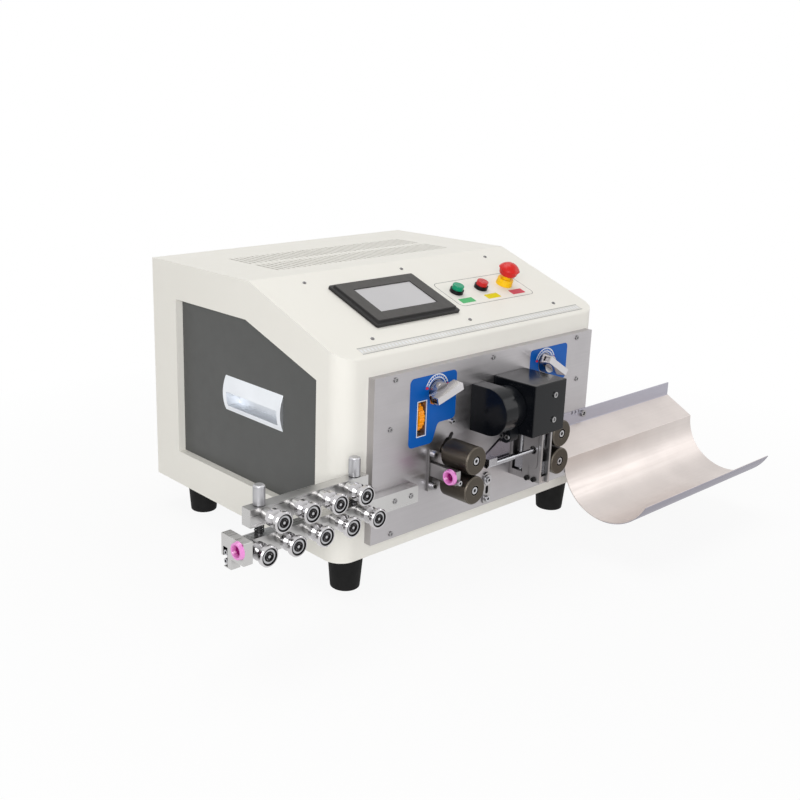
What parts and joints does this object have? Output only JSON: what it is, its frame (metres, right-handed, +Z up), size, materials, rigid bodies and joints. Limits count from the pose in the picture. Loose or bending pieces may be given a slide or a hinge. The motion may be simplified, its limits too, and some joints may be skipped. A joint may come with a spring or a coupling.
{
  "type": "wire cutting and stripping machine",
  "caption": "Bench-top wire cutting and stripping machine with feed rollers, blade head, swing guide tube, wire straightener and output tray.",
  "frame": {"origin": "on the bench, below the middle of the machine's overall box", "axes": "+X along the wire's way from the straightener to the tray, +Y from the front plate to the rear panel, +Z up"},
  "size_m": [0.7826, 0.5372, 0.335],
  "materials": {
    "housing": "fine satin powder coat",
    "base_plate": "zinc plated",
    "rear_panel": "fine satin powder coat",
    "side_panels": "satin",
    "side_handles": "polished",
    "front_plate": "anodised, fine brushed",
    "feet": "matt",
    "panel_screws": "satin",
    "hmi_bezel": "fine grain",
    "hmi_screen": "matt screen film",
    "button_collars": "gloss",
    "estop_collar": "gloss",
    "pivot_pins": "ground",
    "feed_brackets": "machined",
    "stepper_motors": "black",
    "blade_guide": "machined",
    "cutter_cover": "gloss",
    "swing_cover": "gloss",
    "swing_solenoid": "satin",
    "eyelets": "smooth",
    "eyelet_holder": "machined",
    "straightener_bar": "anodised",
    "tray": "satin sheet",
    "power_supply": "plain",
    "control_board": "solder mask",
    "power_inlet": "fine grain",
    "start_button": "gloss",
    "stop_button": "gloss",
    "estop_stem": "plain",
    "estop_head": "gloss",
    "front_knob": "polished",
    "rear_knob": "polished",
    "thumbwheel": "satin",
    "front_lower_roller": "black oxide, fine knurl",
    "front_upper_roller": "black oxide, fine knurl",
    "rear_lower_roller": "black oxide, fine knurl",
    "rear_upper_roller": "black oxide, fine knurl",
    "front_arm": "plain",
    "rear_arm": "plain",
    "cutter_shaft": "ground",
    "cutter_screw": "ground",
    "upper_blade_holder": "ground",
    "lower_blade_holder": "ground",
    "left_thumbscrew": "knurled",
    "right_thumbscrew": "knurled",
    "rocker_switch": "gloss",
    "lower_spool_1": "polished",
    "lower_spool_2": "polished",
    "lower_spool_3": "polished",
    "lower_spool_4": "polished",
    "lower_spool_5": "polished",
    "upper_spool_1": "polished",
    "upper_spool_2": "polished",
    "upper_spool_3": "polished",
    "upper_spool_4": "polished",
    "swing_arm": "gloss",
    "guide_tube": "polished",
    "straightener_slider": "anodised",
    "straightener_springs": "black oxide"
  },
  "bodies": {
    "machine": {"housing": "housing", "base_plate": "base_plate", "rear_panel": "rear_panel", "side_panels": "side_panels", "side_handles": "side_handles", "front_plate": "front_plate", "feet": "feet", "panel_screws": "panel_screws", "hmi_bezel": "hmi_bezel", "hmi_screen": "hmi_screen", "button_collars": "button_collars", "estop_collar": "estop_collar", "pivot_pins": "pivot_pins", "feed_brackets": "feed_brackets", "stepper_motors": "stepper_motors", "blade_guide": "blade_guide", "cutter_cover": "cutter_cover", "swing_cover": "swing_cover", "swing_solenoid": "swing_solenoid", "eyelets": "eyelets", "eyelet_holder": "eyelet_holder", "straightener_bar": "straightener_bar", "tray": "tray", "power_supply": "power_supply", "control_board": "control_board", "power_inlet": "power_inlet"},
    "start_button": {"start_button": "start_button"},
    "stop_button": {"stop_button": "stop_button"},
    "estop_stem": {"estop_stem": "estop_stem"},
    "estop_head": {"estop_head": "estop_head"},
    "front_knob": {"front_knob": "front_knob"},
    "rear_knob": {"rear_knob": "rear_knob"},
    "thumbwheel": {"thumbwheel": "thumbwheel"},
    "front_lower_roller": {"front_lower_roller": "front_lower_roller"},
    "front_upper_roller": {"front_upper_roller": "front_upper_roller"},
    "rear_lower_roller": {"rear_lower_roller": "rear_lower_roller"},
    "rear_upper_roller": {"rear_upper_roller": "rear_upper_roller"},
    "front_arm": {"front_arm": "front_arm"},
    "rear_arm": {"rear_arm": "rear_arm"},
    "cutter_shaft": {"cutter_shaft": "cutter_shaft"},
    "cutter_screw": {"cutter_screw": "cutter_screw"},
    "upper_blade_holder": {"upper_blade_holder": "upper_blade_holder"},
    "lower_blade_holder": {"lower_blade_holder": "lower_blade_holder"},
    "left_thumbscrew": {"left_thumbscrew": "left_thumbscrew"},
    "right_thumbscrew": {"right_thumbscrew": "right_thumbscrew"},
    "rocker_switch": {"rocker_switch": "rocker_switch"},
    "lower_spool_1": {"lower_spool_1": "lower_spool_1"},
    "lower_spool_2": {"lower_spool_2": "lower_spool_2"},
    "lower_spool_3": {"lower_spool_3": "lower_spool_3"},
    "lower_spool_4": {"lower_spool_4": "lower_spool_4"},
    "lower_spool_5": {"lower_spool_5": "lower_spool_5"},
    "upper_spool_1": {"upper_spool_1": "upper_spool_1"},
    "upper_spool_2": {"upper_spool_2": "upper_spool_2"},
    "upper_spool_3": {"upper_spool_3": "upper_spool_3"},
    "upper_spool_4": {"upper_spool_4": "upper_spool_4"},
    "swing_arm": {"swing_arm": "swing_arm", "guide_tube": "guide_tube"},
    "straightener_slider": {"straightener_slider": "straightener_slider", "straightener_springs": "straightener_springs"}
  },
  "joints": [
    {"name": "start_press", "type": "slide", "parent": "machine", "child": "start_button", "axis": [0, -0.3524, 0.9359], "range_m": [-0.003, 0], "stiffness_N_per_m": 400, "springref_m": 0.001},
    {"name": "stop_press", "type": "slide", "parent": "machine", "child": "stop_button", "axis": [0, -0.3524, 0.9359], "range_m": [-0.003, 0], "stiffness_N_per_m": 400, "springref_m": 0.001},
    {"name": "estop_press", "type": "slide", "parent": "machine", "child": "estop_stem", "axis": [0, -0.3524, 0.9359], "range_m": [-0.004, 0], "stiffness_N_per_m": 800, "springref_m": 0.001},
    {"name": "estop_twist", "type": "hinge", "parent": "estop_stem", "child": "estop_head", "pos_m": [0.12775, -0.0219, 0.3043], "axis": [0, -0.3524, 0.9359], "range_deg": [-45, 0], "stiffness_Nm_per_rad": 0.05},
    {"name": "front_knob_turn", "type": "hinge", "parent": "machine", "child": "front_knob", "pos_m": [-0.08725, -0.12738, 0.2225], "axis": [0, 1, 0], "range_deg": [0, 150]},
    {"name": "rear_knob_turn", "type": "hinge", "parent": "machine", "child": "rear_knob", "pos_m": [0.10475, -0.12738, 0.2225], "axis": [0, 1, 0], "range_deg": [0, 150]},
    {"name": "front_arm_lift", "type": "hinge", "parent": "machine", "child": "front_arm", "pos_m": [-0.04075, -0.08538, 0.1235], "axis": [0, 1, 0], "range_deg": [0, 5.6]},
    {"name": "rear_arm_lift", "type": "hinge", "parent": "machine", "child": "rear_arm", "pos_m": [0.11275, -0.08538, 0.1235], "axis": [0, 1, 0], "range_deg": [0, 5.6]},
    {"name": "front_lower_spin", "type": "hinge", "parent": "machine", "child": "front_lower_roller", "pos_m": [-0.07175, -0.14338, 0.1135], "axis": [0, 1, 0], "continuous": true},
    {"name": "front_upper_spin", "type": "hinge", "parent": "front_arm", "child": "front_upper_roller", "pos_m": [-0.07175, -0.14338, 0.1485], "axis": [0, 1, 0], "continuous": true},
    {"name": "rear_lower_spin", "type": "hinge", "parent": "machine", "child": "rear_lower_roller", "pos_m": [0.08175, -0.14338, 0.1135], "axis": [0, 1, 0], "continuous": true},
    {"name": "rear_upper_spin", "type": "hinge", "parent": "rear_arm", "child": "rear_upper_roller", "pos_m": [0.08175, -0.14338, 0.1485], "axis": [0, 1, 0], "continuous": true},
    {"name": "thumbwheel_turn", "type": "hinge", "parent": "machine", "child": "thumbwheel", "pos_m": [-0.11025, -0.09388, 0.193], "axis": [1, 0, 0], "range_deg": [-150, 150]},
    {"name": "cutter_turn", "type": "hinge", "parent": "machine", "child": "cutter_shaft", "pos_m": [0.05575, -0.10238, 0.192], "axis": [0, 1, 0], "range_deg": [0, 720]},
    {"name": "cutter_screw_turn", "type": "hinge", "parent": "machine", "child": "cutter_screw", "pos_m": [0.05575, -0.12438, 0.142], "axis": [0, 0, 1], "range_deg": [0, 720]},
    {"name": "upper_blade_move", "type": "slide", "parent": "machine", "child": "upper_blade_holder", "axis": [0, 0, 1], "range_m": [-0.008, 0]},
    {"name": "lower_blade_move", "type": "slide", "parent": "machine", "child": "lower_blade_holder", "axis": [0, 0, 1], "range_m": [0, 0.008]},
    {"name": "tube_swing", "type": "hinge", "parent": "machine", "child": "swing_arm", "pos_m": [0.00875, -0.13838, 0.191], "axis": [1, 0, 0], "range_deg": [-35, 0]},
    {"name": "left_thumb_turn", "type": "hinge", "parent": "straightener_slider", "child": "left_thumbscrew", "pos_m": [-0.34225, -0.11938, 0.162], "axis": [0, 0, 1], "range_deg": [-1440, 720]},
    {"name": "right_thumb_turn", "type": "hinge", "parent": "straightener_slider", "child": "right_thumbscrew", "pos_m": [-0.21625, -0.11938, 0.162], "axis": [0, 0, 1], "range_deg": [-1440, 720]},
    {"name": "slider_move", "type": "slide", "parent": "machine", "child": "straightener_slider", "axis": [0, 0, 1], "range_m": [-0.005, 0.0025], "deforming": ["straightener_springs"]},
    {"name": "rocker_tilt", "type": "hinge", "parent": "machine", "child": "rocker_switch", "pos_m": [-0.08525, 0.25962, 0.104], "axis": [1, 0, 0], "range_deg": [-12, 12]},
    {"name": "lower_spool_1_spin", "type": "hinge", "parent": "machine", "child": "lower_spool_1", "pos_m": [-0.35825, -0.14738, 0.116], "axis": [0, 1, 0], "continuous": true},
    {"name": "lower_spool_2_spin", "type": "hinge", "parent": "machine", "child": "lower_spool_2", "pos_m": [-0.32225, -0.14738, 0.116], "axis": [0, 1, 0], "continuous": true},
    {"name": "lower_spool_3_spin", "type": "hinge", "parent": "machine", "child": "lower_spool_3", "pos_m": [-0.28625, -0.14738, 0.116], "axis": [0, 1, 0], "continuous": true},
    {"name": "lower_spool_4_spin", "type": "hinge", "parent": "machine", "child": "lower_spool_4", "pos_m": [-0.25025, -0.14738, 0.116], "axis": [0, 1, 0], "continuous": true},
    {"name": "lower_spool_5_spin", "type": "hinge", "parent": "machine", "child": "lower_spool_5", "pos_m": [-0.21425, -0.14738, 0.116], "axis": [0, 1, 0], "continuous": true},
    {"name": "upper_spool_1_spin", "type": "hinge", "parent": "straightener_slider", "child": "upper_spool_1", "pos_m": [-0.34025, -0.14738, 0.146], "axis": [0, 1, 0], "continuous": true},
    {"name": "upper_spool_2_spin", "type": "hinge", "parent": "straightener_slider", "child": "upper_spool_2", "pos_m": [-0.30425, -0.14738, 0.146], "axis": [0, 1, 0], "continuous": true},
    {"name": "upper_spool_3_spin", "type": "hinge", "parent": "straightener_slider", "child": "upper_spool_3", "pos_m": [-0.26825, -0.14738, 0.146], "axis": [0, 1, 0], "continuous": true},
    {"name": "upper_spool_4_spin", "type": "hinge", "parent": "straightener_slider", "child": "upper_spool_4", "pos_m": [-0.23225, -0.14738, 0.146], "axis": [0, 1, 0], "continuous": true}
  ],
  "couplings": [
    {"joint": "front_arm_lift", "follows": "front_knob_turn", "ratio": 0.037333},
    {"joint": "rear_arm_lift", "follows": "rear_knob_turn", "ratio": 0.037333},
    {"joint": "front_upper_spin", "follows": "front_lower_spin", "ratio": -1},
    {"joint": "rear_upper_spin", "follows": "rear_lower_spin", "ratio": -1},
    {"joint": "lower_blade_move", "follows": "upper_blade_move", "ratio": -1},
    {"joint": "cutter_turn", "follows": "upper_blade_move", "rad_per_m": -1570.8},
    {"joint": "cutter_screw_turn", "follows": "upper_blade_move", "rad_per_m": -1570.8},
    {"joint": "left_thumb_turn", "follows": "slider_move", "rad_per_m": 5026.5},
    {"joint": "right_thumb_turn", "follows": "slider_move", "rad_per_m": 5026.5}
  ]
}
